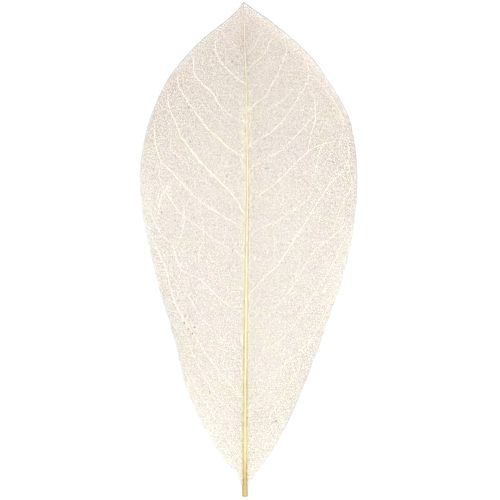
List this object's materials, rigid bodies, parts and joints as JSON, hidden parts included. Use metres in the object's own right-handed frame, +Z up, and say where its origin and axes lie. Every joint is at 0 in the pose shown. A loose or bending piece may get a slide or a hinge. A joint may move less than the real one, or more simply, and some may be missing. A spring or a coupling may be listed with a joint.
{
  "type": "skeleton leaf",
  "caption": "Skeleton leaf: the bleached vein net of a dried leaf with its midrib and side veins, to lie on a surface as decoration or in crafts.",
  "frame": {"origin": "below the middle of the leaf's box, on the surface that the leaf lies on", "axes": "+Y towards the leaf's tip, +X to the right seen from above, +Z up, away from the surface"},
  "size_m": [0.0442, 0.1, 0.0022],
  "materials": {
    "leaf_fibre": "matt bleached plant fibre, cream, with a yellower midrib"
  },
  "bodies": {
    "root": {"skeleton_leaf": "leaf_fibre"}
  },
  "joints": []
}
